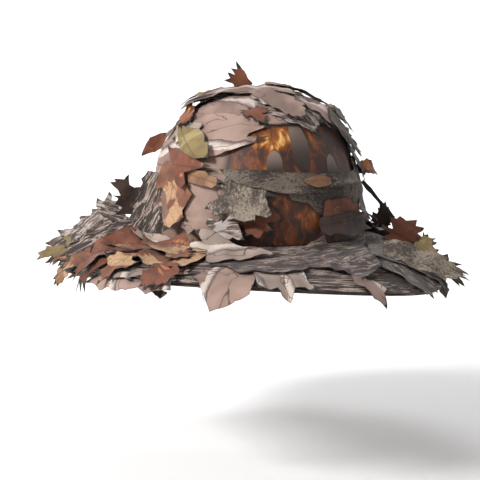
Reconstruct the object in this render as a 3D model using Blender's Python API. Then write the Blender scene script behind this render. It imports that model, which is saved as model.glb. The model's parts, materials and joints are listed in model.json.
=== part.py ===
"""A leaf-cut camouflage field hat: sewn crown, three-ply brim, sweatband and leaf-cut cloth pieces.

Frame: origin at the centre of the head opening, in the plane where the crown meets the brim.
+Z is up, -Y is the front of the hat and +X its left as it is worn.
A place on the hat is an azimuth (0 at the front, 90 at +X) and a run: metres along the cloth
from the crown and brim joint, negative up the crown and positive out over the brim.
"""

import math

import bpy
from mathutils import Vector

# Driving dimensions, in metres and degrees.
HEAD_WIDTH = 0.180  # outside of the crown at the joint, side to side
HEAD_LENGTH = 0.196  # the same, front to back
CROWN_HEIGHT = 0.125
TIP_SEAM_RUN = -0.104  # where the tip panel is sewn to the side panels
BRIM_WIDTH = 0.087  # along the cloth
BRIM_START = 6.0  # slope where the brim leaves the crown
CLOTH = 0.0008  # crown and brim plies
STIFFENER = 0.0010
SWEATBAND = 0.0012
SWEATBAND_HEIGHT = 0.032
SWEATBAND_DROP = 0.002  # how far the band hangs below the joint
SEAM_GAP = 0.0004  # between plies that are sewn together
THREAD = 0.0010  # overlock and topstitch cord, diameter
EDGE_STITCH_INSET = 0.006
LEAF_CLOTH = 0.0007
LEAF_CLEARANCE = 0.0020  # under the lowest leaf, above the stitching it lies over
LEAF_PITCH = 0.0021  # from one layer of leaves to the next
LEAF_STEP = 0.016  # longest stretch of a leaf that stays straight

SEGMENTS = 40  # round the hat
CROWN_ROWS = 6
TIP_ROWS = 5
BRIM_ROWS = 5
ARC_STEPS = 300
DRAPE_REACH = 0.015  # loose cloth bridges the joint's corner over this length
DRAPE_STEPS = 3
TOP_CLEARANCE = 0.001  # nearest a leaf's point comes to the very top, where azimuth has no meaning
CROWN_SHARPNESS = 2 / 3  # exponent of the crown's profile: 1 is a round dome

COLOURS = {
    "camo_cloth": ((0.42, 0.34, 0.30, 1), 0.85),
    "liner_cloth": ((0.16, 0.12, 0.10, 1), 0.9),
    "stiffener": ((0.75, 0.74, 0.70, 1), 0.8),
    "thread": ((0.13, 0.11, 0.10, 1), 0.7),
    "grey_leaf": ((0.40, 0.36, 0.33, 1), 0.8),
    "rust_leaf": ((0.34, 0.17, 0.11, 1), 0.75),
    "tan_leaf": ((0.60, 0.45, 0.32, 1), 0.8),
}

# Leaf-cut pieces. Place and size of each: name, finish, azimuth and run of the sewn root,
# length, width, turn (0 points down the hat and outwards, 90 towards rising azimuth), layer.
LEAVES = (
    ("tip_panel_front", "tan_leaf", -88, -0.100, 0.124, 0.050, 84, 0),
    ("tip_panel_right", "rust_leaf", 100, -0.160, 0.078, 0.056, -20, 1),
    ("tip_panel_back", "grey_leaf", 165, -0.165, 0.064, 0.080, 0, 0),
    ("tip_panel_left", "grey_leaf", -112, -0.160, 0.068, 0.070, 0, 1),
    ("tip_peak_leaf", "rust_leaf", -60, -0.173, 0.034, 0.024, -30, 3),
    ("crown_swoosh_panel", "tan_leaf", -74, -0.084, 0.116, 0.050, 84, 2),
    ("crown_rust_leaf", "rust_leaf", -66, -0.066, 0.052, 0.046, 56, 3),
    ("crown_tan_leaf", "tan_leaf", -46, -0.052, 0.056, 0.040, 0, 0),
    ("crown_belt_strip", "grey_leaf", -34, -0.058, 0.096, 0.024, 86, 4),
    ("crown_belt_leaf", "grey_leaf", -10, -0.056, 0.047, 0.056, -8, 3),
    ("crown_belt_right", "grey_leaf", 34, -0.050, 0.060, 0.036, 68, 3),
    ("crown_right_leaf", "grey_leaf", 78, -0.060, 0.062, 0.044, 4, 0),
    ("crown_right_curl", "rust_leaf", 96, -0.080, 0.030, 0.024, 10, 3),
    ("crown_right_stem", "grey_leaf", 90, -0.048, 0.046, 0.010, 5, 1),
    ("crown_bark_strip", "grey_leaf", -78, -0.064, 0.066, 0.040, 0, 1),
    ("crown_left_ribbon", "rust_leaf", -88, -0.088, 0.036, 0.014, -4, 2),
    ("crown_dark_leaf", "rust_leaf", -102, -0.044, 0.052, 0.044, 0, 2),
    ("crown_back_left_leaf", "tan_leaf", -138, -0.092, 0.076, 0.060, 10, 0),
    ("crown_back_panel", "grey_leaf", 178, -0.098, 0.090, 0.084, 0, 1),
    ("crown_back_right_leaf", "rust_leaf", 134, -0.092, 0.078, 0.064, -10, 2),
    ("brim_grey_leaf", "grey_leaf", -106, 0.026, 0.052, 0.050, 0, 2),
    ("brim_bark_panel", "grey_leaf", -94, 0.013, 0.076, 0.060, 0, 0),
    ("brim_olive_leaf", "tan_leaf", -92, 0.070, 0.048, 0.030, -4, 3),
    ("brim_bark_strip", "grey_leaf", -66, -0.010, 0.078, 0.036, -16, 3),
    ("brim_tan_strip", "tan_leaf", -76, 0.068, 0.038, 0.018, 4, 2),
    ("brim_rust_panel", "rust_leaf", -58, 0.019, 0.070, 0.056, 0, 1),
    ("brim_rust_oak", "rust_leaf", -14, 0.020, 0.088, 0.052, -80, 2),
    ("brim_light_leaf", "tan_leaf", -14, -0.008, 0.056, 0.052, 10, 4),
    ("brim_front_bark", "grey_leaf", 0, 0.030, 0.120, 0.046, 86, 3),
    ("brim_front_leaf", "tan_leaf", -8, 0.054, 0.050, 0.052, -4, 1),
    ("brim_front_bark_leaf", "tan_leaf", 12, 0.058, 0.042, 0.042, 2, 4),
    ("brim_right_leaf", "grey_leaf", 30, 0.068, 0.036, 0.038, 0, 1),
    ("brim_right_grey", "grey_leaf", 52, 0.028, 0.078, 0.050, 40, 0),
    ("brim_right_rust", "rust_leaf", 90, 0.008, 0.066, 0.060, 0, 1),
    ("brim_right_tip", "tan_leaf", 90, 0.070, 0.042, 0.028, 6, 4),
    ("brim_edge_rust", "rust_leaf", 76, 0.072, 0.030, 0.030, 0, 3),
    ("brim_back_right_panel", "grey_leaf", 128, 0.012, 0.076, 0.076, 0, 0),
    ("brim_back_right_leaf", "rust_leaf", 147, 0.050, 0.054, 0.056, 4, 3),
    ("brim_back_panel", "grey_leaf", 170, 0.012, 0.076, 0.086, 0, 1),
    ("brim_back_leaf", "tan_leaf", 174, 0.056, 0.048, 0.052, -4, 3),
    ("brim_back_left_panel", "grey_leaf", -144, 0.012, 0.076, 0.076, 0, 0),
    ("brim_back_left_leaf", "rust_leaf", -132, 0.052, 0.050, 0.052, 0, 3),
)
# Half-width of a leaf along its length, as shares: tips and notches between a narrow root and an end.
LEAF_SHAPE = ((0.0, 0.30), (0.20, 0.95), (0.36, 0.62), (0.56, 1.0), (0.74, 0.55), (0.88, 0.60), (1.0, 0.12))
LEAF_COLUMNS = (-1.0, -0.5, 0.0, 0.5, 1.0)


def plan_radius(azimuth):
    """Radius of the head opening's ellipse."""
    side, fore = HEAD_WIDTH / 2, HEAD_LENGTH / 2
    return side * fore / math.hypot(fore * math.sin(azimuth), side * math.cos(azimuth))


def crown_profile(angle, radius):
    """(radius, height) on the crown at an angle from its top."""
    return radius * math.sin(angle), CROWN_HEIGHT * max(math.cos(angle), 0.0) ** CROWN_SHARPNESS


def crown_arc_table():
    """Pairs (length up from the joint, angle from the top), for the crown's mean radius."""
    mean = (HEAD_WIDTH + HEAD_LENGTH) / 4
    table = [(0.0, math.pi / 2)]
    last = crown_profile(math.pi / 2, mean)
    for step in range(1, ARC_STEPS + 1):
        angle = math.pi / 2 * (1 - step / ARC_STEPS)
        here = crown_profile(angle, mean)
        table.append((table[-1][0] + math.dist(last, here), angle))
        last = here
    return table


CROWN_ARC = crown_arc_table()
CROWN_RUN = CROWN_ARC[-1][0]


def crown_angle(up):
    """Angle from the top at a length up from the joint."""
    up = min(max(up, 0.0), CROWN_RUN)
    for (low, first), (high, second) in zip(CROWN_ARC, CROWN_ARC[1:]):
        if up <= high:
            return first + (second - first) * (up - low) / (high - low)
    return 0.0


def brim_droop(azimuth):
    """Mean slope of the brim: flattest at the front, steepest at +X, where the cloth hangs."""
    return math.radians(
        20.5 - 3.5 * math.cos(azimuth) + 7.5 * math.sin(azimuth) - 4 * math.cos(2 * azimuth)
    )


def at_azimuth(azimuth, radius, height):
    return Vector((radius * math.sin(azimuth), -radius * math.cos(azimuth), height))


def crown_point(azimuth, run):
    return at_azimuth(azimuth, *crown_profile(crown_angle(-run), plan_radius(azimuth)))


def brim_point(azimuth, run):
    """The brim is an arc that steepens outwards and goes on past its edge."""
    start = math.radians(BRIM_START)
    bend = 2 * (brim_droop(azimuth) - start) / BRIM_WIDTH
    slope = start + bend * run
    out = (math.sin(slope) - math.sin(start)) / bend
    down = (math.cos(start) - math.cos(slope)) / bend
    return at_azimuth(azimuth, plan_radius(azimuth) + out, -down)


def hat_point(azimuth, run):
    """A point of the whole outer surface, crown and brim."""
    return crown_point(azimuth, run) if run < 0 else brim_point(azimuth, run)


def draped_point(azimuth, run):
    """Where loose cloth lies: near the joint, the surface averaged along the run, which rounds the corner."""
    reach = max(DRAPE_REACH - abs(run) / 2, 0.0)
    if reach == 0.0:
        return hat_point(azimuth, run)
    steps = range(-DRAPE_STEPS, DRAPE_STEPS + 1)
    points = [hat_point(azimuth, run + reach * k / DRAPE_STEPS) for k in steps]
    return sum(points, Vector()) / len(points)


def offset_point(surface, azimuth, run, offset):
    """A point of a surface moved outwards along its normal."""
    turn, step = 0.002, 0.0006
    across = surface(azimuth + turn, run) - surface(azimuth - turn, run)
    along = surface(azimuth, run + step) - surface(azimuth, run - step)
    return surface(azimuth, run) + along.cross(across).normalized() * offset


def clear_scene():
    for item in list(bpy.data.objects):
        bpy.data.objects.remove(item, do_unlink=True)


def make_materials():
    for name, (colour, roughness) in COLOURS.items():
        material = bpy.data.materials.new(name)
        material.use_nodes = True
        shader = material.node_tree.nodes["Principled BSDF"]
        shader.inputs["Base Color"].default_value = colour
        shader.inputs["Roughness"].default_value = roughness
        shader.inputs["Metallic"].default_value = 0.0


def add_object(name, data, finish, parent=None):
    data.materials.append(bpy.data.materials[finish])
    made = bpy.data.objects.new(name, data)
    bpy.context.scene.collection.objects.link(made)
    if parent is not None:
        made.parent = parent
        made.location = -parent.location
    return made


def cloth_sheet(name, points, faces, thickness, finish, parent=None):
    """A sheet of cloth whose given points are its outer side, thickened inwards."""
    mesh = bpy.data.meshes.new(name)
    mesh.from_pydata([tuple(p) for p in points], [], faces)
    mesh.validate()
    mesh.shade_smooth()
    sheet = add_object(name, mesh, finish, parent)
    solidify = sheet.modifiers.new("cloth", "SOLIDIFY")
    solidify.thickness = thickness
    solidify.offset = -1.0
    solidify.use_even_offset = True
    solidify.use_quality_normals = True
    return sheet


def ring_faces(rows, columns, closed):
    """Quads of a grid of rows, each running round the hat, that face outwards."""
    faces = []
    for row in range(rows - 1):
        for column in range(columns if closed else columns - 1):
            after = (column + 1) % columns
            here, below = row * columns, (row + 1) * columns
            faces.append((here + column, below + column, below + after, here + after))
    return faces


def band(name, surface, runs, offset, thickness, finish, start=0.0, sweep=360.0):
    """Cloth between the first and last run, round all or part of the hat."""
    closed = sweep >= 360.0
    count = round(SEGMENTS * sweep / 360.0) + (0 if closed else 1)
    step = math.radians(sweep) / (count if closed else count - 1)
    azimuths = [math.radians(start) + step * k for k in range(count)]
    points = [offset_point(surface, a, run, offset) for run in runs for a in azimuths]
    return cloth_sheet(name, points, ring_faces(len(runs), count, closed), thickness, finish)


def spread(first, last, count):
    return [first + (last - first) * k / (count - 1) for k in range(count)]


def crown_wall_runs():
    return spread(TIP_SEAM_RUN + SEAM_GAP, -SEAM_GAP, CROWN_ROWS)


def make_crown():
    gap = math.degrees(SEAM_GAP / (HEAD_WIDTH / 2))
    for name, start in (("crown_side_front", -90.0), ("crown_side_back", 90.0)):
        runs = crown_wall_runs()
        band(name, crown_point, runs, 0.0, CLOTH, "camo_cloth", start + gap, 180.0 - 2 * gap)
    make_crown_tip(TIP_SEAM_RUN - SEAM_GAP)


def make_crown_tip(edge_run):
    """The oval top panel: rings round a centre point."""
    runs = spread(edge_run, -CROWN_RUN, TIP_ROWS + 1)[:-1]
    azimuths = [2 * math.pi * k / SEGMENTS for k in range(SEGMENTS)]
    points = [crown_point(a, run) for run in reversed(runs) for a in azimuths]
    faces = ring_faces(TIP_ROWS, SEGMENTS, True)
    centre = len(points)
    points.append(Vector((0, 0, CROWN_HEIGHT)))
    faces += [(centre, k, (k + 1) % SEGMENTS) for k in range(SEGMENTS)]
    cloth_sheet("crown_tip", points, faces, CLOTH, "camo_cloth")


def make_brim():
    """Three plies from under the crown wall to the edge, each below the last."""
    depth = 0.0
    for name, thickness, finish, rows_short in (
        ("brim_upper", CLOTH, "camo_cloth", 0),
        ("brim_stiffener", STIFFENER, "stiffener", 1),
        ("brim_lower", CLOTH, "camo_cloth", 0),
    ):
        runs = spread(SEAM_GAP, BRIM_WIDTH - EDGE_STITCH_INSET, BRIM_ROWS) + [BRIM_WIDTH]
        band(name, brim_point, runs[: len(runs) - rows_short], -depth, thickness, finish)
        depth += thickness + SEAM_GAP


def make_sweatband():
    """A band inside the crown wall, a seam gap away from it, on the wall's own facets."""
    inset = CLOTH + SEAM_GAP
    low, middle, high = reversed(crown_wall_runs()[-3:])
    share = (SWEATBAND_HEIGHT + middle) / (middle - high)
    azimuths = [2 * math.pi * k / SEGMENTS for k in range(SEGMENTS)]
    top, waist, foot = [], [], []
    for azimuth in azimuths:
        lower, upper = (offset_point(crown_point, azimuth, run, -inset) for run in (middle, high))
        top.append(lower.lerp(upper, share))
        waist.append(lower)
        place = offset_point(crown_point, azimuth, low, -inset)
        foot.append(Vector((place.x, place.y, -SWEATBAND_DROP)))
    faces = ring_faces(3, SEGMENTS, True)
    cloth_sheet("sweatband", top + waist + foot, faces, SWEATBAND, "liner_cloth")


def thread_ring(name, run, clearance):
    """A line of stitching round the hat, as one cord lying on the cloth."""
    curve = bpy.data.curves.new(name, "CURVE")
    curve.dimensions = "3D"
    curve.bevel_depth = THREAD / 2
    curve.bevel_resolution = 1
    spline = curve.splines.new("POLY")
    spline.points.add(SEGMENTS - 1)
    spline.use_cyclic_u = True
    for k, point in enumerate(spline.points):
        place = offset_point(hat_point, 2 * math.pi * k / SEGMENTS, run, clearance + THREAD / 2)
        point.co = (*place, 1.0)
    add_object(name, curve, "thread")


def make_threads():
    thread_ring("tip_seam_thread", TIP_SEAM_RUN, SEAM_GAP)
    thread_ring("brim_edge_thread", BRIM_WIDTH - EDGE_STITCH_INSET, SEAM_GAP)


def leaf_place(azimuth, run, side, forward, offset):
    """A leaf's local point on the hat: side runs towards rising azimuth, forward down the hat."""
    if run > TIP_SEAM_RUN:
        run += forward
        azimuth += side / draped_point(azimuth, run).xy.length
    else:
        # Near the top a grid of runs and azimuths would pinch, so the leaf is laid on a flat
        # chart whose distance from its middle is the length down the cloth from the hat's top.
        out = Vector((math.sin(azimuth), -math.cos(azimuth)))
        across = Vector((math.cos(azimuth), math.sin(azimuth)))
        chart = out * (CROWN_RUN + run + forward) + across * side
        azimuth = math.atan2(chart.x, -chart.y)
        run = max(chart.length, TOP_CLEARANCE) - CROWN_RUN
    return offset_point(draped_point, azimuth, run, offset)


def leaf_stations(length):
    """(share of the length, half-width) at each row of a leaf, none further apart than a leaf step."""
    stations = [LEAF_SHAPE[0]]
    for (first, narrow), (last, wide) in zip(LEAF_SHAPE, LEAF_SHAPE[1:]):
        steps = math.ceil((last - first) * length / LEAF_STEP)
        for k in range(1, steps + 1):
            part = k / steps
            stations.append((first + (last - first) * part, narrow + (wide - narrow) * part))
    return stations


def leaf_points(azimuth, run, length, width, turn, layer):
    offset = SEAM_GAP + THREAD + LEAF_CLEARANCE + LEAF_PITCH * layer
    cos, sin = math.cos(math.radians(turn)), math.sin(math.radians(turn))
    points = []
    for share, half in leaf_stations(length):
        for column in LEAF_COLUMNS:
            forward, side = share * length, column * half * width / 2
            points.append(
                leaf_place(
                    math.radians(azimuth),
                    run,
                    side * cos + forward * sin,
                    forward * cos - side * sin,
                    offset,
                )
            )
    return points


def make_leaf(name, finish, azimuth, run, length, width, turn, layer):
    """A leaf-cut piece, hung from an empty in the middle of its sewn root."""
    points = leaf_points(azimuth, run, length, width, turn, layer)
    columns = len(LEAF_COLUMNS)
    root = bpy.data.objects.new(name + "_root", None)
    root.location = points[columns // 2]
    bpy.context.scene.collection.objects.link(root)
    faces = ring_faces(len(points) // columns, columns, False)
    cloth_sheet(name, points, faces, LEAF_CLOTH, finish, root)


def main():
    clear_scene()
    make_materials()
    make_crown()
    make_brim()
    make_sweatband()
    make_threads()
    for leaf in LEAVES:
        make_leaf(*leaf)


main()
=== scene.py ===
"""The looks of the leaf-cut camouflage hat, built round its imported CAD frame.

A place on the hat is an azimuth (0 at the front, 90 at +X) and a run: metres along the cloth from
the crown and brim joint, negative up the crown and positive out over the brim. Leaf-cut pieces are
cut flat, meshed, and laid one after another, each on the hat and on what already lies there.
"""

import json
import math
import random

import bmesh
import bpy
import numpy as np
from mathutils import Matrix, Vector, geometry, noise
from mathutils.bvhtree import BVHTree

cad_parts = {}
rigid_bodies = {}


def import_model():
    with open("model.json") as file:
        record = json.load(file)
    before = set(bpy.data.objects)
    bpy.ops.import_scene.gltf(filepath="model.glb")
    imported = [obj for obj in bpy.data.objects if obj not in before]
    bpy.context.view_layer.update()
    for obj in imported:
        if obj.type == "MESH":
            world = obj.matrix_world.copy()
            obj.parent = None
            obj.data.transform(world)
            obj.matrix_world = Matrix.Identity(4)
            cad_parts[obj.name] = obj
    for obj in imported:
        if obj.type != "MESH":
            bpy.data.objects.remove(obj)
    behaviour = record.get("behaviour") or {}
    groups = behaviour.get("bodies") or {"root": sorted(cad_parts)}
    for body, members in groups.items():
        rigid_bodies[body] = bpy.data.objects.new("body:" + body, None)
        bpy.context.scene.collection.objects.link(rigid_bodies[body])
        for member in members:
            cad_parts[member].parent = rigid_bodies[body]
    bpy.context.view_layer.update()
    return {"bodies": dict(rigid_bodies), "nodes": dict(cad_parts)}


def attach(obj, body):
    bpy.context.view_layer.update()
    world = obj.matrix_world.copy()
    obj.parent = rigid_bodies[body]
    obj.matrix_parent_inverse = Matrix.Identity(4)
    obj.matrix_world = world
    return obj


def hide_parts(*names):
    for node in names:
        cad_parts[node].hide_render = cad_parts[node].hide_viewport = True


for leftover in list(bpy.data.objects):
    bpy.data.objects.remove(leftover)

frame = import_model()

# The hat's own shape, as in the CAD model, in metres and degrees.
HEAD_WIDTH = 0.18
HEAD_LENGTH = 0.196
CROWN_HEIGHT = 0.125
CROWN_SHARPNESS = 2 / 3
TIP_SEAM_RUN = -0.104
BRIM_WIDTH = 0.087
BRIM_START = 6.0
CLOTH = 0.0008
SEAM_GAP = 0.0004
STIFFENER = 0.001
SWEATBAND = 0.0012
SWEATBAND_HEIGHT = 0.032
SWEATBAND_DROP = 0.002
SWEATBAND_PLAY = 0.0003  # between it and the crown, besides the seam's gap
SWEATBAND_RADIUS = 0.092
EDGE_STITCH_INSET = 0.006

# How the loose cloth lies.
LEAF_CLOTH = 0.00045
LEAF_GAP = 0.0009  # between a leaf and what it lies on
FILLET = 0.034  # loose cloth bridges the crown and brim corner over this length
FALL_RADIUS = 0.02  # cloth past the brim's edge bends down this tightly
FALL_SLOPE = math.radians(78)
PROBE = 0.03  # how far above the hat to look for leaves already laid
MESH_STEP = 0.0032
TEAR_STEP = 0.004  # a cut edge is uneven at this spacing, by TEAR either way
TEAR = 0.0005
JOINT_LAP = 0.0009  # the brim's plies reach this far in under the crown
HAT_WAVES = 0.0008  # how uneven the crown's own cloth is
RIM_INSIDE = 0.005  # what the rim attribute says away from a cut edge, where it is 0
UNITS_PER_METRE = 8  # of the leaf coordinates, on cloth that isn't a leaf
LAID_CREASES = 0.016, 0.0045  # size and depth
STANDING_CREASES = 0.014, 0.0035
CUP = 7.0  # a standing leaf's sides curl up by this times the square of the distance from its middle
TOP_HOLE = 0.002  # what close_top fills
ZIGZAG = 0.0019  # half the overlock's width

# Every print's weave, and its colour against the colours stated.
WEAVE_MM = 0.45
PRINT_SATURATION = 1.18
PRINT_VALUE = 0.86

BODY = "hat"


# ---- the hat's surface


def plan_radius(azimuth):
    side, fore = HEAD_WIDTH / 2, HEAD_LENGTH / 2
    return side * fore / np.hypot(fore * np.sin(azimuth), side * np.cos(azimuth))


def crown_profile(angle, radius):
    return radius * np.sin(angle), CROWN_HEIGHT * np.cos(angle).clip(0) ** CROWN_SHARPNESS


CROWN_ANGLES = np.linspace(math.pi / 2, 0, 301)
CROWN_LENGTHS = np.concatenate(
    [[0], np.hypot(*np.diff(crown_profile(CROWN_ANGLES, (HEAD_WIDTH + HEAD_LENGTH) / 4))).cumsum()]
)
CROWN_RUN = CROWN_LENGTHS[-1]


def at_azimuth(azimuth, radius, height):
    return np.stack([radius * np.sin(azimuth), -radius * np.cos(azimuth), height], axis=-1)


def crown_xyz(azimuth, run):
    angle = np.interp(-run, CROWN_LENGTHS, CROWN_ANGLES)
    return at_azimuth(azimuth, *crown_profile(angle, plan_radius(azimuth)))


def brim_droop(azimuth):
    degrees = 20.5 - 3.5 * np.cos(azimuth) + 7.5 * np.sin(azimuth) - 4 * np.cos(2 * azimuth)
    return np.radians(degrees)


def brim_xyz(azimuth, run):
    """The brim's arc, and past its edge the way that free cloth falls."""
    start = math.radians(BRIM_START)
    bend = 2 * (brim_droop(azimuth) - start) / BRIM_WIDTH
    slope = start + bend * np.minimum(run, BRIM_WIDTH)
    out = (np.sin(slope) - math.sin(start)) / bend
    down = (math.cos(start) - np.cos(slope)) / bend
    over = np.maximum(run - BRIM_WIDTH, 0)
    last = np.minimum(slope + over / FALL_RADIUS, FALL_SLOPE)
    straight = over - (last - slope) * FALL_RADIUS
    out = out + FALL_RADIUS * (np.sin(last) - np.sin(slope)) + straight * np.cos(last)
    down = down + FALL_RADIUS * (np.cos(slope) - np.cos(last)) + straight * np.sin(last)
    return at_azimuth(azimuth, plan_radius(azimuth) + out, -down)


def hat_xyz(azimuth, run):
    azimuth, run = np.broadcast_arrays(azimuth, run)
    return np.where(run[..., None] < 0, crown_xyz(azimuth, run), brim_xyz(azimuth, run))


def draped_xyz(azimuth, run):
    """The surface with the corner at the joint rounded off, as loose cloth bridges it."""
    azimuth, run = np.broadcast_arrays(azimuth, run)
    reach = np.maximum(FILLET - np.abs(run) / 2, 0)
    return sum(hat_xyz(azimuth, run + reach * k / 4) for k in range(-4, 5)) / 9


def normals(surface, azimuth, run):
    turn, step = 0.002, 0.0006
    across = surface(azimuth + turn, run) - surface(azimuth - turn, run)
    along = surface(azimuth, run + step) - surface(azimuth, run - step)
    normal = np.cross(along, across)
    return normal / np.linalg.norm(normal, axis=-1, keepdims=True)


def raised(surface, azimuth, run, offset):
    return surface(azimuth, run) + normals(surface, azimuth, run) * np.asarray(offset)[..., None]


def radius_at(azimuth, run):
    return np.hypot(*draped_xyz(azimuth, run)[..., :2].T)


DRAPE_RUNS = np.linspace(-CROWN_RUN, 0.25, 900)
DRAPE_STEPS = np.linalg.norm(np.diff(draped_xyz(math.pi / 4, DRAPE_RUNS), axis=0), axis=1)
DRAPE_LENGTHS = np.concatenate([[0], DRAPE_STEPS.cumsum()])


def run_after(run, forward):
    """The run that loose cloth reaches `forward` metres past a run, allowing for the rounded corner."""
    start = np.interp(run, DRAPE_RUNS, DRAPE_LENGTHS)
    return np.interp(start + forward, DRAPE_LENGTHS, DRAPE_RUNS)


# ---- prints and finishes


def srgb(*channels):
    """A colour from per cent of full sRGB."""
    shares = [c / 100 for c in channels]
    return tuple(c / 12.92 if c < 0.04 else ((c + 0.055) / 1.055) ** 2.4 for c in shares) + (1.0,)


def set_inputs(node, values):
    for key, value in values.items():
        node.inputs[key].default_value = value


class Print:
    """A cloth's node tree. Its coordinates are millimetres of the flat cloth."""

    def __init__(self, name):
        self.material = bpy.data.materials.new(name)
        self.material.use_nodes = True
        self.tree = self.material.node_tree
        self.shader = self.tree.nodes["Principled BSDF"]
        self.mm = self.vector_math("MULTIPLY", self.uv("UVMap"), (1000, 1000, 1000))

    def node(self, kind, inputs=(), **settings):
        made = self.tree.nodes.new("ShaderNode" + kind)
        for key, value in settings.items():
            setattr(made, key, value)
        for key, value in dict(inputs).items():
            if isinstance(value, bpy.types.NodeSocket):
                self.tree.links.new(value, made.inputs[key])
            else:
                made.inputs[key].default_value = value
        return made

    def uv(self, layer):
        return self.node("UVMap", uv_map=layer).outputs["UV"]

    def math(self, operation, first, second=0.0):
        return self.node("Math", {0: first, 1: second}, operation=operation).outputs[0]

    def plus(self, first, second):
        return self.math("ADD", first, second)

    def times(self, first, second):
        return self.math("MULTIPLY", first, second)

    def vector_math(self, operation, first, second):
        return self.node("VectorMath", {0: first, 1: second}, operation=operation).outputs[0]

    def noise(self, size, stretch=1.0, detail=4.0, rough=0.55, warp=0.0, seed=0.0):
        """Noise with features of about `size` millimetres, `stretch` times longer along the grain."""
        moved = self.vector_math("ADD", self.mm, (seed * 37.0, seed * 11.0, seed * 5.0))
        scaled = self.vector_math("MULTIPLY", moved, (1 / (size * stretch), 1 / size, 1 / size))
        inputs = {"Vector": scaled, "Scale": 1.0, "Detail": detail, "Roughness": rough, "Distortion": warp}
        return self.node("TexNoise", inputs).outputs["Fac"]

    def ramp(self, factor, *stops):
        made = self.node("ValToRGB", {"Fac": factor})
        ramp = made.color_ramp
        while len(ramp.elements) < len(stops):
            ramp.elements.new(1.0)
        for element, (place, colour) in zip(ramp.elements, stops):
            element.position = place
            element.color = colour
        return made.outputs["Color"]

    def mask(self, factor, low, high):
        """0 below low, 1 above high, or the other way round if low is the greater."""
        inputs = {"Value": factor, "From Min": low, "From Max": high}
        return self.node("MapRange", inputs, interpolation_type="SMOOTHSTEP").outputs["Result"]

    def mix(self, factor, first, second, blend="MIX"):
        inputs = {0: factor, 6: first, 7: second}
        return self.node("Mix", inputs, data_type="RGBA", blend_type=blend).outputs[2]

    def wave(self, size, direction):
        """Stripes `size` millimetres apart."""
        inputs = {"Vector": self.mm, "Scale": 0.314 / size, "Distortion": 0.0}
        return self.node("TexWave", inputs, bands_direction=direction).outputs["Fac"]

    def split(self, vector):
        return self.node("SeparateXYZ", {0: vector}).outputs

    def finish(self, colour, roughness, sheen=0.08, bumps=()):
        """Adds what every cloth has: a fine weave, soft creases, and a darker cut edge."""
        rim = self.node("Attribute", attribute_name="rim").outputs["Fac"]
        worn = self.mix(self.mask(rim, 0.0016, 0.0), colour, srgb(10, 8, 7))
        colour = self.mix(self.mask(rim, 0.0009, 0.0), colour, worn)
        weave = self.plus(self.wave(WEAVE_MM, "X"), self.wave(WEAVE_MM, "Y"))
        inputs = {"Saturation": PRINT_SATURATION, "Value": PRINT_VALUE, "Color": colour}
        colour = self.node("HueSaturation", inputs).outputs[0]
        tint = self.mix(self.times(weave, 0.03), colour, srgb(78, 70, 64))
        self.tree.links.new(tint, self.shader.inputs["Base Color"])
        crease = self.noise(9, detail=3)
        height = self.plus(self.times(weave, 0.1), crease)
        for bump in bumps:
            height = self.plus(height, self.times(bump, 0.35))
        bump = self.node("Bump", {"Height": height, "Strength": 0.45, "Distance": 0.0006})
        self.tree.links.new(bump.outputs["Normal"], self.shader.inputs["Normal"])
        set_inputs(self.shader, {"Roughness": roughness, "Specular IOR Level": 0.3})
        set_inputs(self.shader, {"Sheen Weight": sheen, "Sheen Roughness": 0.5})
        return self.material


def bark_print(name, dark, middle, light, stain):
    """Long wavering streaks of bark with dark cracks and a few stained patches."""
    p = Print(name)
    streaks = p.noise(4.2, stretch=6.5, detail=7, rough=0.64, warp=0.9)
    narrow = (0.32, dark), (0.4, middle), (0.44, light), (0.475, middle), (0.5, dark)
    wide = (0.56, dark), (0.61, middle), (0.66, light), (0.72, dark)
    colour = p.ramp(streaks, *narrow, *wide)
    broad = p.noise(22, stretch=2.5, detail=2)
    colour = p.mix(p.mask(broad, 0.52, 0.66), colour, middle, "MULTIPLY")
    cracks = p.mask(p.noise(1.6, stretch=9, detail=5, warp=0.5, seed=3), 0.6, 0.66)
    colour = p.mix(cracks, colour, dark)
    patch = p.mask(p.noise(26, stretch=1.6, detail=3, warp=0.6, seed=5), 0.6, 0.64)
    colour = p.mix(p.times(patch, 0.8), colour, stain)
    return p.finish(colour, roughness=0.66, bumps=[streaks])


def branch_print(name, base, shade, birch, underside, spacing=44.0):
    """Plain ground with birch branches across it: pale above, dark below, ringed with bark marks."""
    p = Print(name)
    soft = p.noise(38, detail=3, rough=0.5)
    colour = p.mix(p.mask(soft, 0.35, 0.68), base, shade)
    bent = p.noise(60, detail=3, rough=0.45, seed=2)
    across = p.split(p.mm)[1]
    across = p.plus(across, p.times(bent, 46.0))
    across = p.plus(across, p.times(p.noise(5, detail=3, seed=8), 2.4))
    place = p.math("MODULO", p.plus(across, 5000.0), spacing)
    inside = p.times(p.mask(place, 0.0, 0.6), p.mask(place, 9.4, 8.8))
    rings = p.mask(p.noise(2.2, stretch=0.5, detail=4, warp=0.8, seed=4), 0.56, 0.66)
    bark = p.mix(p.mask(place, 3.4, 8.8), birch, underside)
    bark = p.mix(p.times(rings, 0.55), bark, underside)
    colour = p.mix(inside, colour, bark)
    twig = p.math("ABSOLUTE", p.math("SUBTRACT", p.noise(34, stretch=1.8, detail=3, seed=9), 0.5))
    colour = p.mix(p.times(p.mask(twig, 0.008, 0.002), 0.85), colour, srgb(25, 17, 14))
    return p.finish(colour, roughness=0.6, bumps=[rings])


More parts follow.
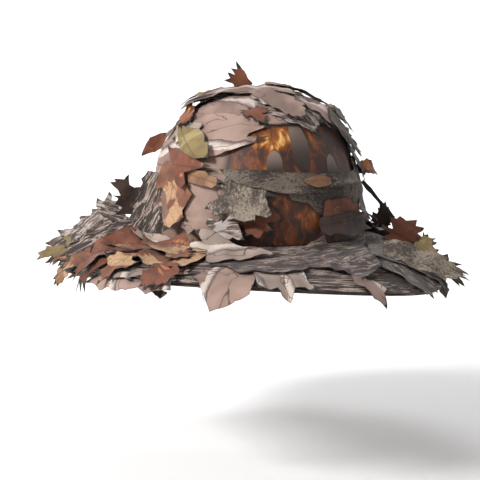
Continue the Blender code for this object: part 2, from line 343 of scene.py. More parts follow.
def leaf_print(name, ground, deep, patch, vein, patch_from=0.56):
    """A printed dead leaf: smooth ground, a paler patch, and veins that run off a midrib."""
    p = Print(name)
    colour = p.mix(p.mask(p.noise(17, detail=4, warp=0.4), 0.36, 0.66), ground, deep)
    spread = p.noise(30, detail=4, rough=0.5, warp=0.7, seed=6)
    speckle = p.noise(1.3, detail=3, seed=7)
    pale = p.mix(p.mask(speckle, 0.5, 0.7), patch, ground)
    colour = p.mix(p.mask(spread, patch_from, patch_from + 0.05), colour, pale)
    x, y, _ = p.split(p.uv("leaf"))
    side = p.math("ABSOLUTE", x)
    slant = p.math("SUBTRACT", p.times(side, 0.9), y)
    ribs = p.math("PINGPONG", p.plus(slant, 8.0), 0.09)
    veins = p.math("MAXIMUM", p.mask(ribs, 0.008, 0.002), p.mask(side, 0.016, 0.006))
    colour = p.mix(p.times(veins, 0.55), colour, vein)
    stain = p.mask(p.noise(5, detail=5, seed=11), 0.62, 0.72)
    colour = p.mix(p.times(stain, 0.5), colour, deep)
    return p.finish(colour, roughness=0.56, bumps=[veins])


def lichen_print(name, dark, middle, light, size):
    """Bark under lichen: fine speckle that thickens and thins."""
    p = Print(name)
    fine = p.noise(size, stretch=1.4, detail=5, rough=0.7, warp=0.4)
    broad = p.noise(16, stretch=2.0, detail=3, seed=4)
    amount = p.plus(fine, p.times(p.math("SUBTRACT", broad, 0.5), 0.9))
    colour = p.ramp(amount, (0.34, dark), (0.47, middle), (0.58, light), (0.7, middle), (0.8, dark))
    return p.finish(colour, roughness=0.68, bumps=[fine])


def ember_print(name):
    """The crown's own cloth: taupe at the left, glowing brown leaves with smooth grey lobes in front."""
    p = Print(name)
    x, y, _ = p.split(p.mm)
    soft = p.noise(15, stretch=0.6, detail=3, warp=0.8)
    streak = p.noise(2.2, stretch=0.25, detail=4, seed=5)
    amount = p.plus(soft, p.times(p.math("SUBTRACT", streak, 0.5), 0.25))

    def spot(centre, level, half, tall, uneven=0.5):
        """Below 1 inside an ellipse on the cloth with an uneven border."""
        dx = p.math("DIVIDE", p.math("SUBTRACT", x, float(centre)), float(half))
        dy = p.math("DIVIDE", p.math("SUBTRACT", y, float(level)), float(tall))
        far = p.plus(p.times(dx, dx), p.times(dy, dy))
        rough = p.times(p.math("SUBTRACT", p.noise(11, detail=1, seed=centre), 0.5), 2 * uneven)
        return p.plus(far, rough), dy

    glows = (14, -90, 20, 12, 0.26), (-6, -64, 14, 10, 0.14), (60, -92, 7, 18, 0.16), (44, -22, 15, 10, 0.14)
    for centre, level, half, tall, glow in glows:
        near = p.mask(spot(centre, level, half, tall)[0], 1.6, 0.0)
        amount = p.plus(amount, p.times(near, glow))
    colour = p.ramp(
        amount,
        (0.38, srgb(11, 5.5, 4.5)),
        (0.52, srgb(25, 13, 9)),
        (0.65, srgb(44, 25, 16)),
        (0.79, srgb(66, 44, 29)),
        (0.9, srgb(90, 74, 54)),
    )
    for centre, level, half, tall in ((41, -86, 9.5, 23), (14, -68, 7, 11), (74, -62, 7, 12)):
        far, dy = spot(centre, level, half, tall, 0.15)
        lobe = p.mix(p.mask(dy, -1.0, 0.7), srgb(50, 44, 41), srgb(17, 13, 12))
        colour = p.mix(p.mask(far, 1.08, 0.98), colour, lobe)
    taupe = p.mix(p.mask(p.noise(30, detail=3), 0.35, 0.65), srgb(60, 50, 45), srgb(47, 38, 34))
    colour = p.mix(p.mask(x, -26, -34), colour, taupe)
    return p.finish(colour, roughness=0.5, bumps=[streak])


def plain_cloth(name, colour, other, roughness=0.75):
    p = Print(name)
    return p.finish(p.mix(p.noise(12, detail=5, rough=0.6), colour, other), roughness=roughness, sheen=0.15)


# Each cloth's kind, its slot, and its colours in per cent of full sRGB, then what else its kind takes.
CLOTHS = {
    "bark": (bark_print, "grey_leaf", (10, 8, 8.5), (36, 30, 28), (78, 71, 66), (42, 19, 12)),
    "grey_bark": (bark_print, "grey_leaf", (25, 21, 20), (56, 50, 47), (80, 76, 73), (70, 66, 64)),
    "front_bark": (bark_print, "grey_leaf", (20, 16.5, 17), (31, 26, 26), (74, 68, 63), (26, 21, 22)),
    "taupe": (branch_print, "tan_leaf", (63, 54, 50), (48, 40, 37), (80, 75, 72), (35, 27, 27)),
    "pale": (branch_print, "tan_leaf", (66, 60, 56), (52, 46, 43), (80, 75, 71), (38, 32, 32), 27.0),
    "rust": (leaf_print, "rust_leaf", (47, 29, 23), (34, 19, 14), (72, 51, 38), (22, 12, 9), 0.6),
    "mottled": (leaf_print, "tan_leaf", (53, 37, 30), (39, 25, 20), (74, 62, 51), (33, 20, 15), 0.5),
    "tan": (leaf_print, "tan_leaf", (60, 47, 37), (44, 32, 25), (73, 62, 50), (38, 26, 19)),
    "olive": (leaf_print, "tan_leaf", (52, 46, 33), (43, 37, 26), (60, 54, 40), (32, 26, 17), 0.6),
    "dark": (leaf_print, "rust_leaf", (22, 15, 13), (12, 9, 8.5), (36, 24, 18), (7, 5, 5), 0.62),
    "orange": (leaf_print, "rust_leaf", (52, 31, 21), (34, 18, 12), (82, 60, 42), (24, 12, 8), 0.52),
    "lichen": (lichen_print, "grey_leaf", (20, 17, 15), (40, 36, 33), (60, 56, 50), 2.0),
    "dark_lichen": (lichen_print, "grey_leaf", (11, 9, 8.5), (24, 20.5, 19), (46, 42, 38), 1.6),
    "ember": (ember_print, "camo_cloth"),
    "print_reverse": (plain_cloth, None, (24, 18, 16), (15, 11, 10)),
    "liner_cloth": (plain_cloth, "liner_cloth", (17, 13, 11), (11, 8, 7)),
    "stiffener_felt": (plain_cloth, "stiffener", (80, 79, 75), (70, 69, 65), 0.9),
    "sewing_thread": (plain_cloth, "thread", (16, 13, 12), (8, 7, 6), 0.6),
}


def make_cloth(name):
    kind, _, *looks = CLOTHS[name]
    looks = [srgb(*look) if isinstance(look, tuple) else look for look in looks]
    return kind(name if kind is plain_cloth else name + "_print", *looks)


PRINTS = {name: make_cloth(name) for name in CLOTHS}


# ---- making sheets


def vertex_normals(points, faces):
    corners = points[faces]
    face = np.cross(corners[:, 1] - corners[:, 0], corners[:, 2] - corners[:, 0])
    total = np.zeros_like(points)
    for k in range(3):
        np.add.at(total, faces[:, k], face)
    return total / np.linalg.norm(total, axis=1, keepdims=True).clip(1e-12)


def directed_edges(faces):
    return np.concatenate([faces[:, [0, 1]], faces[:, [1, 2]], faces[:, [2, 0]]])


def open_edges(faces):
    """The directed edges that only one triangle has."""
    ends = directed_edges(faces)
    here = {tuple(e) for e in ends.tolist()}
    return [(a, b) for a, b in here if (b, a) not in here]


def add_object(name, data):
    made = bpy.data.objects.new(name, data)
    bpy.context.scene.collection.objects.link(made)
    return made


def thick_sheet(name, points, faces, flat, leaf_uv, thickness, face_print, back_print):
    """Cloth with a printed face and a plain back. `flat` is each point's place on the cut cloth."""
    count = len(points)
    back = points - vertex_normals(points, faces) * thickness
    rim = open_edges(faces)
    polygons = faces.tolist() + (faces[:, ::-1] + count).tolist()
    polygons += [(b, a, a + count, b + count) for a, b in rim]
    mesh = bpy.data.meshes.new(name)
    mesh.from_pydata(np.concatenate([points, back]).tolist(), [], polygons)
    mesh.materials.append(PRINTS[face_print])
    mesh.materials.append(PRINTS[back_print])
    mesh.polygons.foreach_set("material_index", [0] * len(faces) + [1] * (len(polygons) - len(faces)))
    loops = np.empty(len(mesh.loops), np.int32)
    mesh.loops.foreach_get("vertex_index", loops)
    for layer, values in (("UVMap", flat), ("leaf", leaf_uv)):
        both = np.concatenate([values, values])
        mesh.uv_layers.new(name=layer).data.foreach_set("uv", both[loops].ravel())
    edge_points = np.unique(np.array(rim).ravel())
    inward = np.full(count, RIM_INSIDE)
    inward[edge_points] = 0.0
    mesh.attributes.new("rim", "FLOAT", "POINT").data.foreach_set("value", np.tile(inward, 2))
    mesh.shade_smooth()
    sharp = {tuple(sorted(e)) for e in rim}
    sharp |= {(a + count, b + count) for a, b in sharp}
    for edge in mesh.edges:
        edge.use_edge_sharp = tuple(sorted(edge.vertices)) in sharp
    piece = add_object(name, mesh)
    return piece


def grid_faces(rows, columns, closed):
    faces = []
    for row in range(rows - 1):
        for column in range(columns if closed else columns - 1):
            a, d = row * columns + column, row * columns + (column + 1) % columns
            faces += [(a, a + columns, d + columns), (a, d + columns, d)]
    return np.array(faces)


def wrinkle(points, size, depth, seed=0.0):
    """Soft unevenness of the cloth, as a height at each point."""
    shift = Vector((seed, seed * 0.7, -seed))
    return np.array([noise.noise(Vector(p) / size + shift) for p in points]) * depth


def shell(name, surface, runs, azimuths, offset, thickness, prints, closed, waves=0.0):
    """Cloth of the hat itself, over a grid of runs and azimuths."""
    runs, azimuths = np.asarray(runs), np.asarray(azimuths)
    grid_run, grid_azimuth = (g.ravel() for g in np.meshgrid(runs, azimuths, indexing="ij"))
    points = raised(surface, grid_azimuth, grid_run, np.full(len(grid_run), offset))
    if waves:
        points += normals(surface, grid_azimuth, grid_run) * wrinkle(points, 0.045, waves)[:, None]
    flat = np.stack([grid_azimuth * (HEAD_WIDTH + HEAD_LENGTH) / 4, grid_run], axis=1)
    faces = grid_faces(len(runs), len(azimuths), closed)
    return thick_sheet(name, points, faces, flat, flat * UNITS_PER_METRE, thickness, *prints)


def sew(piece, node, flat, rests_on, **known):
    """Cloth of the hat itself, shown in a CAD node's place."""
    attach(piece, BODY)
    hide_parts(node)


def full_turn(count):
    return np.arange(count) * 2 * math.pi / count


# ---- the sewn hat


def make_crown():
    gap = SEAM_GAP / (HEAD_WIDTH / 2)
    wall = np.linspace(TIP_SEAM_RUN + SEAM_GAP, -SEAM_GAP, 22)
    for name, start in (("crown_side_front", -math.pi / 2), ("crown_side_back", math.pi / 2)):
        turn = np.linspace(start + gap, start + math.pi - gap, 90)
        prints = "ember", "print_reverse"
        side = shell(name + "_cloth", crown_xyz, wall, turn, 0, CLOTH, prints, False, HAT_WAVES)
        length = math.pi / 2 * math.hypot(HEAD_WIDTH, HEAD_LENGTH) / math.sqrt(2)
        sew(side, name, (-TIP_SEAM_RUN, length), "crown_tip", area=0.0272)
    rings = np.linspace(TIP_SEAM_RUN - SEAM_GAP, TOP_HOLE - CROWN_RUN, 16)[::-1]
    columns, prints = 120, ("taupe", "print_reverse")
    tip = shell("crown_tip_cloth", crown_xyz, rings, full_turn(columns), 0, CLOTH, prints, True, HAT_WAVES)
    close_top(tip.data, columns)
    sew(tip, "crown_tip", (0.15, 0.162), "crown_side_front", area=0.018)


def close_top(mesh, columns):
    """Fills the small hole left at the very top of the tip panel, on both sides of the cloth."""
    made = bmesh.new()
    made.from_mesh(mesh)
    made.verts.ensure_lookup_table()
    count = len(made.verts) // 2
    top = [made.verts[k] for k in range(columns)]
    under = [made.verts[count + k] for k in range(columns)]
    walls = [f for f in made.faces if all(sum(v in ring for v in f.verts) == 2 for ring in (top, under))]
    bmesh.ops.delete(made, geom=walls, context="FACES_ONLY")
    made.faces.new(top)
    made.faces.new(under[::-1]).material_index = 1
    bmesh.ops.recalc_face_normals(made, faces=made.faces)
    made.to_mesh(mesh)
    made.free()


def make_brim():
    """Upper ply, stiffener and lower ply, which reach a little way in under the crown's lower edge."""
    turn = full_turn(180)
    runs = np.linspace(-JOINT_LAP, BRIM_WIDTH, 26)
    depth = 0.0
    plies = (
        ("brim_upper", CLOTH, ("bark", "bark"), 0, "brim_stiffener"),
        ("brim_stiffener", STIFFENER, ("stiffener_felt", "stiffener_felt"), 2, "brim_lower"),
        ("brim_lower", CLOTH, ("taupe", "taupe"), 0, "brim_upper"),
    )
    for name, thickness, prints, short, held_by in plies:
        if name == "brim_lower":  # its print faces down
            ply = shell(name + "_cloth", brim_xyz, runs, turn[::-1], -depth - CLOTH, CLOTH, prints, True)
        else:
            kept = runs[: len(runs) - short]
            ply = shell(name + "_cloth", brim_xyz, kept, turn, -depth, thickness, prints, True)
        sew(ply, name, (0.345, 0.375), held_by, area=0.066)
        depth += thickness + SEAM_GAP


def make_sweatband():
    inset = CLOTH + SEAM_GAP + SWEATBAND_PLAY
    turn = full_turn(120)
    heights = np.linspace(SWEATBAND_HEIGHT, -SWEATBAND_DROP, 9)
    rows = []
    for height in heights:
        run = -max(height, SEAM_GAP)
        row = raised(crown_xyz, turn, np.full(len(turn), run), np.full(len(turn), -inset))
        row[:, 2] = height
        rows.append(row)
    points = np.concatenate(rows)
    flat = np.stack([np.tile(turn * SWEATBAND_RADIUS, len(heights)), np.repeat(heights, len(turn))], axis=1)
    faces = grid_faces(len(heights), len(turn), True)
    prints = "liner_cloth", "liner_cloth"
    band = thick_sheet("sweatband_tape", points, faces, flat, flat * UNITS_PER_METRE, SWEATBAND, *prints)
    sew(band, "sweatband", (SWEATBAND_HEIGHT + SWEATBAND_DROP, 0.575), "crown_side_front")


def thread_curve(name, strands, radius, replaced):
    curve = bpy.data.curves.new(name, "CURVE")
    curve.dimensions = "3D"
    curve.bevel_depth = radius
    curve.bevel_resolution = 1
    curve.use_fill_caps = True
    curve.materials.append(PRINTS["sewing_thread"])
    for strand, cyclic in strands:
        spline = curve.splines.new("POLY")
        spline.points.add(len(strand) - 1)
        spline.use_cyclic_u = cyclic
        for point, place in zip(spline.points, strand):
            point.co = (*place, 1.0)
    piece = add_object(name, curve)
    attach(piece, BODY)
    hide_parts(replaced)


def make_threads():
    """Overlock zigzag over the tip seam, running stitches by the brim's edge, and one loose end."""
    count = 400
    zigzag = TIP_SEAM_RUN + ZIGZAG * np.where(np.arange(count) % 2, 1, -1)
    seam = raised(crown_xyz, full_turn(count), zigzag, np.full(count, 0.0007))
    thread_curve("tip_seam_overlock", [(seam, True)], 0.00035, "tip_seam_thread")
    strands = []
    stitches = 190
    for k in range(stitches):
        along = (k + np.linspace(0.12, 0.88, 5)) * 2 * math.pi / stitches
        arch = 0.0001 + 0.0005 * np.sin(np.linspace(0, math.pi, 5))
        run = np.full(5, BRIM_WIDTH - EDGE_STITCH_INSET)
        strands.append((raised(brim_xyz, along, run, arch), False))
    start = brim_xyz(np.radians(-12.0), np.array(BRIM_WIDTH))
    drop = np.linspace(0, 1, 9)[:, None]
    loose = start + drop * [-0.004, -0.002, -0.013] + np.sin(drop * 3.1) * [-0.0035, 0, 0.001]
    strands.append((loose, False))
    thread_curve("brim_edge_stitching", strands, 0.00022, "brim_edge_thread")


# ---- cutting leaves

# Outlines are in per cent: 100 sideways is half the width, and 100 lengthways is the length.
# Each cut is the right side, from the root to the tip. The left side is the same with its own
# small differences.
CUTS = {
    "maple": (
        (10, 0), (13, 14), (34, 9), (64, 2), (58, 12), (84, 16), (70, 24), (100, 38), (80, 41), (92, 54),
        (64, 51), (44, 47), (40, 56), (54, 72), (38, 71), (38, 83), (20, 79), (12, 88), (0, 100),
    ),
    "holly": (
        (16, 0), (30, 10), (58, 10), (100, 4), (74, 20), (62, 33), (96, 48), (60, 51), (42, 62), (56, 86),
        (28, 76), (14, 82), (0, 100),
    ),
    "oak": (
        (12, 0), (18, 12), (48, 14), (64, 23), (50, 32), (30, 36), (62, 40), (90, 50), (74, 60), (38, 60),
        (50, 68), (66, 79), (44, 87), (20, 86), (0, 100),
    ),
    "panel": (
        (80, 0), (93, 18), (84, 25), (100, 31), (89, 42), (90, 55), (99, 66), (86, 70), (92, 88), (66, 90),
        (50, 100), (34, 91), (12, 98), (0, 92),
    ),
    "torn": (
        (55, 0), (80, 12), (72, 19), (96, 31), (86, 36), (100, 52), (84, 56), (92, 72), (66, 73), (72, 90),
        (44, 84), (26, 100), (10, 88), (0, 93),
    ),
    "fork": ((34, 0), (44, 25), (86, 50), (76, 58), (100, 96), (50, 76), (26, 100), (0, 72)),
    "blade": ((12, 0), (52, 16), (96, 40), (80, 52), (84, 60), (40, 80), (0, 100)),
    "stem": ((60, 0), (80, 20), (60, 50), (100, 72), (80, 88), (0, 100)),
    "strip": (
        (60, 0), (85, 13), (74, 21), (100, 34), (80, 42), (92, 60), (66, 68), (72, 84), (40, 86), (24, 100),
        (0, 90),
    ),
}

# Whole outlines that aren't the same on both sides.
PATTERNS = {
    "belt_maple": (
        (-42, 12), (-20, 0), (26, 3), (86, 22), (125, 33), (83, 31), (100, 62), (86, 68), (60, 63), (60, 86),
        (58, 100), (35, 86), (-3, 78), (-5, 60), (-26, 62), (-42, 67), (-45, 57), (-68, 55), (-60, 44),
        (-33, 35), (-20, 28),
    ),
    "rust_triangle": (
        (90, 0), (76, 30), (56, 60), (12, 100), (-6, 80), (-30, 62), (-80, 70), (-110, 66), (-88, 52),
        (-25, 38), (38, 16),
    ),
    "mottled_oak": (
        (-50, 0), (-15, 0), (28, 11), (72, 25), (105, 38), (90, 49), (72, 60), (94, 72), (72, 79), (40, 100),
        (17, 89), (-17, 87), (0, 73), (5, 65), (-22, 54), (-33, 42), (-55, 35), (-94, 38), (-83, 23),
        (-78, 10),
    ),
    "dark_stand": (
        (80, 0), (76, 10), (52, 40), (58, 53), (105, 63), (74, 70), (63, 93), (52, 87), (42, 100), (20, 77),
        (0, 67), (-10, 87), (-16, 70), (-47, 73), (-52, 53), (-95, 67), (-58, 13), (-20, 0),
    ),
    "spiky_stand": (
        (0, 0), (33, 20), (42, 30), (83, 33), (75, 57), (108, 60), (125, 73), (50, 77), (58, 100), (0, 93),
        (-33, 80), (-50, 63), (-50, 13),
    ),
    "olive_spread": (
        (100, 0), (120, 32), (60, 14), (30, 18), (40, 71), (10, 74), (-10, 97), (-40, 90), (-80, 100),
        (-70, 65), (-60, 55), (-130, 74), (-80, 39), (-60, 0),
    ),
    "olive_notched": (
        (-5, 0), (10, 2), (40, 22), (95, 44), (100, 58), (82, 72), (95, 78), (50, 100), (0, 84), (-62, 66),
        (-45, 42), (-28, 20),
    ),
    "ragged": (
        (55, 0), (90, 10), (100, 35), (90, 45), (60, 52), (45, 66), (10, 86), (6, 100), (-5, 90), (-15, 100),
        (-15, 85), (-42, 98), (-30, 82), (-5, 72), (-20, 62), (-50, 58), (-60, 42), (-95, 30), (-80, 10),
        (-40, 0),
    ),
    "light_spiky": (
        (35, 0), (15, 10), (-7, 28), (-7, 39), (-28, 51), (-85, 71), (-107, 82), (-103, 93), (-28, 85),
        (-18, 99), (4, 100), (20, 96), (20, 80), (93, 82), (120, 80), (107, 68), (85, 52), (100, 46),
        (80, 38), (50, 20),
    ),
    "small_spiky": (
        (64, 0), (-45, 23), (-90, 20), (-90, 43), (-36, 60), (-110, 63), (-45, 71), (-73, 94), (-27, 100),
        (55, 66), (90, 40), (55, 31), (70, 18),
    ),
    "pentagon": (
        (5, 0), (64, 12), (95, 14), (95, 62), (86, 77), (-5, 94), (-45, 100), (-68, 83), (-90, 68),
        (-95, 62), (-125, 52), (-105, 36), (-95, 22), (-55, 7),
    ),
    "hanging_bark": (
        (-40, 8), (56, 0), (84, 4), (88, 45), (104, 70), (104, 80), (68, 70), (32, 75), (24, 86), (12, 100),
        (-16, 90), (-28, 75), (-52, 80), (-76, 75), (-100, 70), (-100, 19),
    ),
    "hanging_dark": (
        (-20, 0), (40, 0), (65, 10), (100, 36), (55, 55), (40, 100), (15, 82), (-15, 72), (-25, 50),
        (-40, 40), (-95, 42), (-95, 30), (-80, 2),
    ),
    "right_tip": (
        (75, 0), (160, 27), (110, 37), (50, 33), (10, 53), (50, 77), (-40, 70), (-50, 87), (-100, 100),
        (-90, 80), (-120, 88), (-90, 62), (-50, 47), (-30, 0),
    ),
    "belt_patch": (
        (35, 0), (35, 9), (25, 20), (-20, 32), (-30, 40), (-60, 36), (-80, 41), (-95, 49), (-92, 60),
        (-110, 68), (-105, 77), (-110, 90), (-95, 100), (-40, 92), (0, 88), (30, 93), (85, 90), (100, 70),
        (88, 44), (95, 17), (85, 0),
    ),
    "belt_wedge": (
        (110, 0), (100, 28), (50, 57), (10, 90), (30, 100), (-100, 96), (-120, 72), (-160, 50), (-120, 34),
        (-75, 22), (-25, 11), (25, 5),
    ),
    "front_streak": (
        (-40, 0), (-40, 13), (-100, 21), (-90, 40), (-65, 52), (-30, 54), (-50, 67), (-90, 79), (-130, 81),
        (-125, 87), (-50, 100), (15, 94), (65, 88), (50, 79), (90, 66), (140, 58), (170, 55), (140, 47),
        (65, 41), (25, 22), (-15, 10),
    ),
    "swoosh": (
        (-40, 0), (30, 2), (95, 10), (100, 30), (100, 55), (85, 72), (72, 82), (58, 86), (52, 94), (34, 86),
        (22, 87), (20, 100), (-10, 87), (-26, 80), (-36, 68), (-66, 58), (-80, 48), (-66, 38), (-58, 27),
        (-60, 12),
    ),
}


def cut_outline(length, width, cut, draw):
    """The outline in metres, its edges roughened as a torch-cut cloth edge is."""
    if cut in PATTERNS:
        corners = [(x / 100 * width / 2, y / 100 * length) for x, y in PATTERNS[cut]]
    else:
        sides = []
        for _ in range(2):
            vary = [(draw.uniform(0.86, 1.08), draw.uniform(-0.025, 0.025)) for _ in CUTS[cut]]
            side = []
            for (x, y), (wide, up) in zip(CUTS[cut], vary):
                side.append((x / 100 * wide * width / 2, (y / 100 + up * (0 < y < 100)) * length))
            sides.append(side)
        corners = sides[0] + [(-x, y) for x, y in reversed(sides[1][:-1])]
    rough = []
    for (x, y), (next_x, next_y) in zip(corners, corners[1:] + corners[:1]):
        span = math.hypot(next_x - x, next_y - y)
        parts = max(1, round(span / TEAR_STEP))
        for k in range(parts):
            share = k / parts
            out = draw.uniform(-TEAR, TEAR) if k else 0.0
            rough_x = x + (next_x - x) * share + out * (next_y - y) / span
            rough_y = y + (next_y - y) * share - out * (next_x - x) / span
            rough.append((rough_x, rough_y))
    return rough


def inside(points, outline):
    """Which points are inside the outline, and how far each is from it."""
    start, end = outline, np.roll(outline, -1, axis=0)
    x, y = points[:, None, 0], points[:, None, 1]
    crosses = (start[:, 1] > y) != (end[:, 1] > y)
    rise = end[:, 1] - start[:, 1]
    at = start[:, 0] + (y - start[:, 1]) * (end[:, 0] - start[:, 0]) / np.where(rise == 0, 1e-12, rise)
    within = (crosses & (x < at)).sum(axis=1) % 2 == 1
    edge = end - start
    along = ((points[:, None] - start) * edge).sum(axis=2) / (edge**2).sum(axis=1).clip(1e-12)
    nearest = start + along.clip(0, 1)[..., None] * edge
    return within, np.linalg.norm(points[:, None] - nearest, axis=2).min(axis=1)


def cut_sheet(outline, step):
    """(points, triangles) of the flat outline, with points `step` apart inside it."""
    outline = np.array(outline)
    border = []
    for start, end in zip(outline, np.roll(outline, -1, axis=0)):
        parts = max(1, round(np.linalg.norm(end - start) / step))
        border += [start + (end - start) * k / parts for k in range(parts)]
    border = np.array(border)
    low, high = border.min(axis=0), border.max(axis=0)
    rows = np.arange(low[1], high[1], step * 0.866)
    columns = np.arange(low[0], high[0], step)
    inner = np.array([(x + (step / 2 if k % 2 else 0), y) for k, y in enumerate(rows) for x in columns])
    within, far = inside(inner, outline)
    inner = inner[within & (far > step * 0.45)]
    points = [Vector(p) for p in np.concatenate([border, inner])]
    count = len(border)
    edges = [(k, (k + 1) % count) for k in range(count)]
    flat, _, faces, *_ = geometry.delaunay_2d_cdt(points, edges, [], 1, 1e-7)
    return np.array([tuple(p) for p in flat]), np.array(faces)[:, ::-1]


# ---- laying leaves


class Pile:
    """The leaves laid so far, for finding how high the next one lies."""

    def __init__(self):
        self.laid = []

    def add(self, points, faces):
        centre = points.mean(axis=0)
        reach = np.linalg.norm(points - centre, axis=1).max()
        self.laid.append((BVHTree.FromPolygons(points.tolist(), faces.tolist()), centre, reach))

    def heights(self, base, up):
        middle = base.mean(axis=0)
        reach = np.linalg.norm(base - middle, axis=1).max() + PROBE
        near = [tree for tree, centre, far in self.laid if np.linalg.norm(centre - middle) < far + reach]
        found = np.zeros(len(base))
        for k, (place, normal) in enumerate(zip(base, up)):
            origin, down = Vector(place + normal * PROBE), Vector(-normal)
            for tree in near:
                distance = tree.ray_cast(origin, down, PROBE)[3]
                if distance is not None:
                    found[k] = max(found[k], PROBE - distance)
        return found


PILE = Pile()


def settle(low, faces, rounds=14):
    """The lowest smooth heights that stay above `low`, as cloth lies over what is under it."""
    ends = directed_edges(faces)
    ends = np.concatenate([ends, ends[:, ::-1]])
    count = np.bincount(ends[:, 0], minlength=len(low))
    high = low.copy()
    for _ in range(rounds):
        total = np.bincount(ends[:, 0], weights=high[ends[:, 1]], minlength=len(low))
        high = np.maximum(low, total / count.clip(1))
    return high


def on_hat(azimuth, run, turn, points):
    """(azimuth, run) of a leaf's flat points, for a leaf whose root is at a place and turned."""
    x, y = points.T
    side = x * math.cos(turn) + y * math.sin(turn)
    forward = y * math.cos(turn) - x * math.sin(turn)
    if run > TIP_SEAM_RUN:
        runs = run_after(run, forward)
        return azimuth + side / radius_at(azimuth, runs), runs
    out = np.array([math.sin(azimuth), -math.cos(azimuth)])
    across = np.array([math.cos(azimuth), math.sin(azimuth)])
    chart = out * (CROWN_RUN + run + forward)[:, None] + across * side[:, None]
    return np.arctan2(chart[:, 0], -chart[:, 1]), np.hypot(*chart.T).clip(0.001) - CROWN_RUN


def lay(flat, faces, azimuth, run, turn, length, width, lift, curl, arch, seed):
    """The leaf resting on the hat and on the pile, its middle arched, its end lifted, its sides curled."""
    azimuths, runs = on_hat(azimuth, run, turn, flat)
    base, up = draped_xyz(azimuths, runs), normals(draped_xyz, azimuths, runs)
    height = settle(PILE.heights(base, up) + LEAF_GAP, faces)
    along = (flat[:, 1] / length).clip(0, 1)
    across = np.abs(flat[:, 0]) / (abs(width) / 2)
    height += arch * np.sin(along * math.pi) + lift * along**2.2 + curl * across**2.5 * (0.3 + 0.7 * along)
    height += np.abs(wrinkle(np.c_[flat, np.zeros(len(flat))], *LAID_CREASES, seed)) * (0.25 + along)
    return base + up * height[:, None]


def stand(flat, azimuth, run, out, aim, face, bend, seed):
    """The leaf standing off the hat: its root `out` metres above the surface, its length along `aim`,
    its print towards `face`, and bending towards its print by `bend` over its length."""
    places = raised(draped_xyz, np.array([azimuth]), np.array([run]), np.array([out]))
    aim, face = (np.array(v, float) for v in (aim, face))
    aim /= np.linalg.norm(aim)
    side = np.cross(face, aim)
    side /= np.linalg.norm(side)
    above = np.cross(aim, side)
    length = flat[:, 1].max()
    angle = bend * flat[:, 1] / length
    steps = np.linspace(0, length, 60)
    pace = steps[1]
    gone = np.interp(flat[:, 1], steps, np.cumsum(np.cos(bend * steps / length)) * pace)
    risen = np.interp(flat[:, 1], steps, np.cumsum(np.sin(bend * steps / length)) * pace)
    ripple = wrinkle(np.c_[flat, np.zeros(len(flat))], *STANDING_CREASES, seed)
    cup = CUP * flat[:, 0] ** 2 + ripple
    return (
        places[0]
        + np.outer(gone, aim)
        + np.outer(risen, above)
        + np.outer(flat[:, 0], side)
        + cup[:, None] * (np.outer(np.cos(angle), above) - np.outer(np.sin(angle), aim))
    )


def leaf(
    name, face_print, cut, azimuth, run, length, width, turn=0, lift=3, curl=1.5, arch=0,
    print_at=None, out=2, aim=None, face=(0, -1, 0), bend=0,
):
    """One leaf-cut piece, in millimetres and degrees. One named after a CAD node is shown in its place."""
    draw = random.Random(name)
    seed = draw.uniform(0, 50)
    lengths = run, length, width, lift, curl, arch, out
    run, length, width, lift, curl, arch, out = (v / 1000 for v in lengths)
    azimuth, turn, bend = (math.radians(v) for v in (azimuth, turn, bend))
    outline = cut_outline(length, width, cut, draw)
    flat, faces = cut_sheet(outline, MESH_STEP)
    if aim:
        points = stand(flat, azimuth, run, out, aim, face, bend, seed)
    else:
        points = lay(flat, faces, azimuth, run, turn, length, width, lift, curl, arch, seed)
    PILE.add(points, faces)
    spin = math.radians(draw.uniform(-14, 14) if print_at is None else 0)
    shift = (draw.uniform(0, 1), draw.uniform(0, 1)) if print_at is None else (v / 1000 for v in print_at)
    spun = flat @ np.array([[math.sin(spin), math.cos(spin)], [math.cos(spin), -math.sin(spin)]])
    place = spun + np.array(list(shift))
    known = name in frame["nodes"]
    shown = name + "_cloth" if known else name
    piece = thick_sheet(shown, points, faces, place, flat / length, LEAF_CLOTH, face_print, "print_reverse")
    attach(piece, name if name in frame["bodies"] else BODY)
    if known:
        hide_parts(name)


# ---- the layout


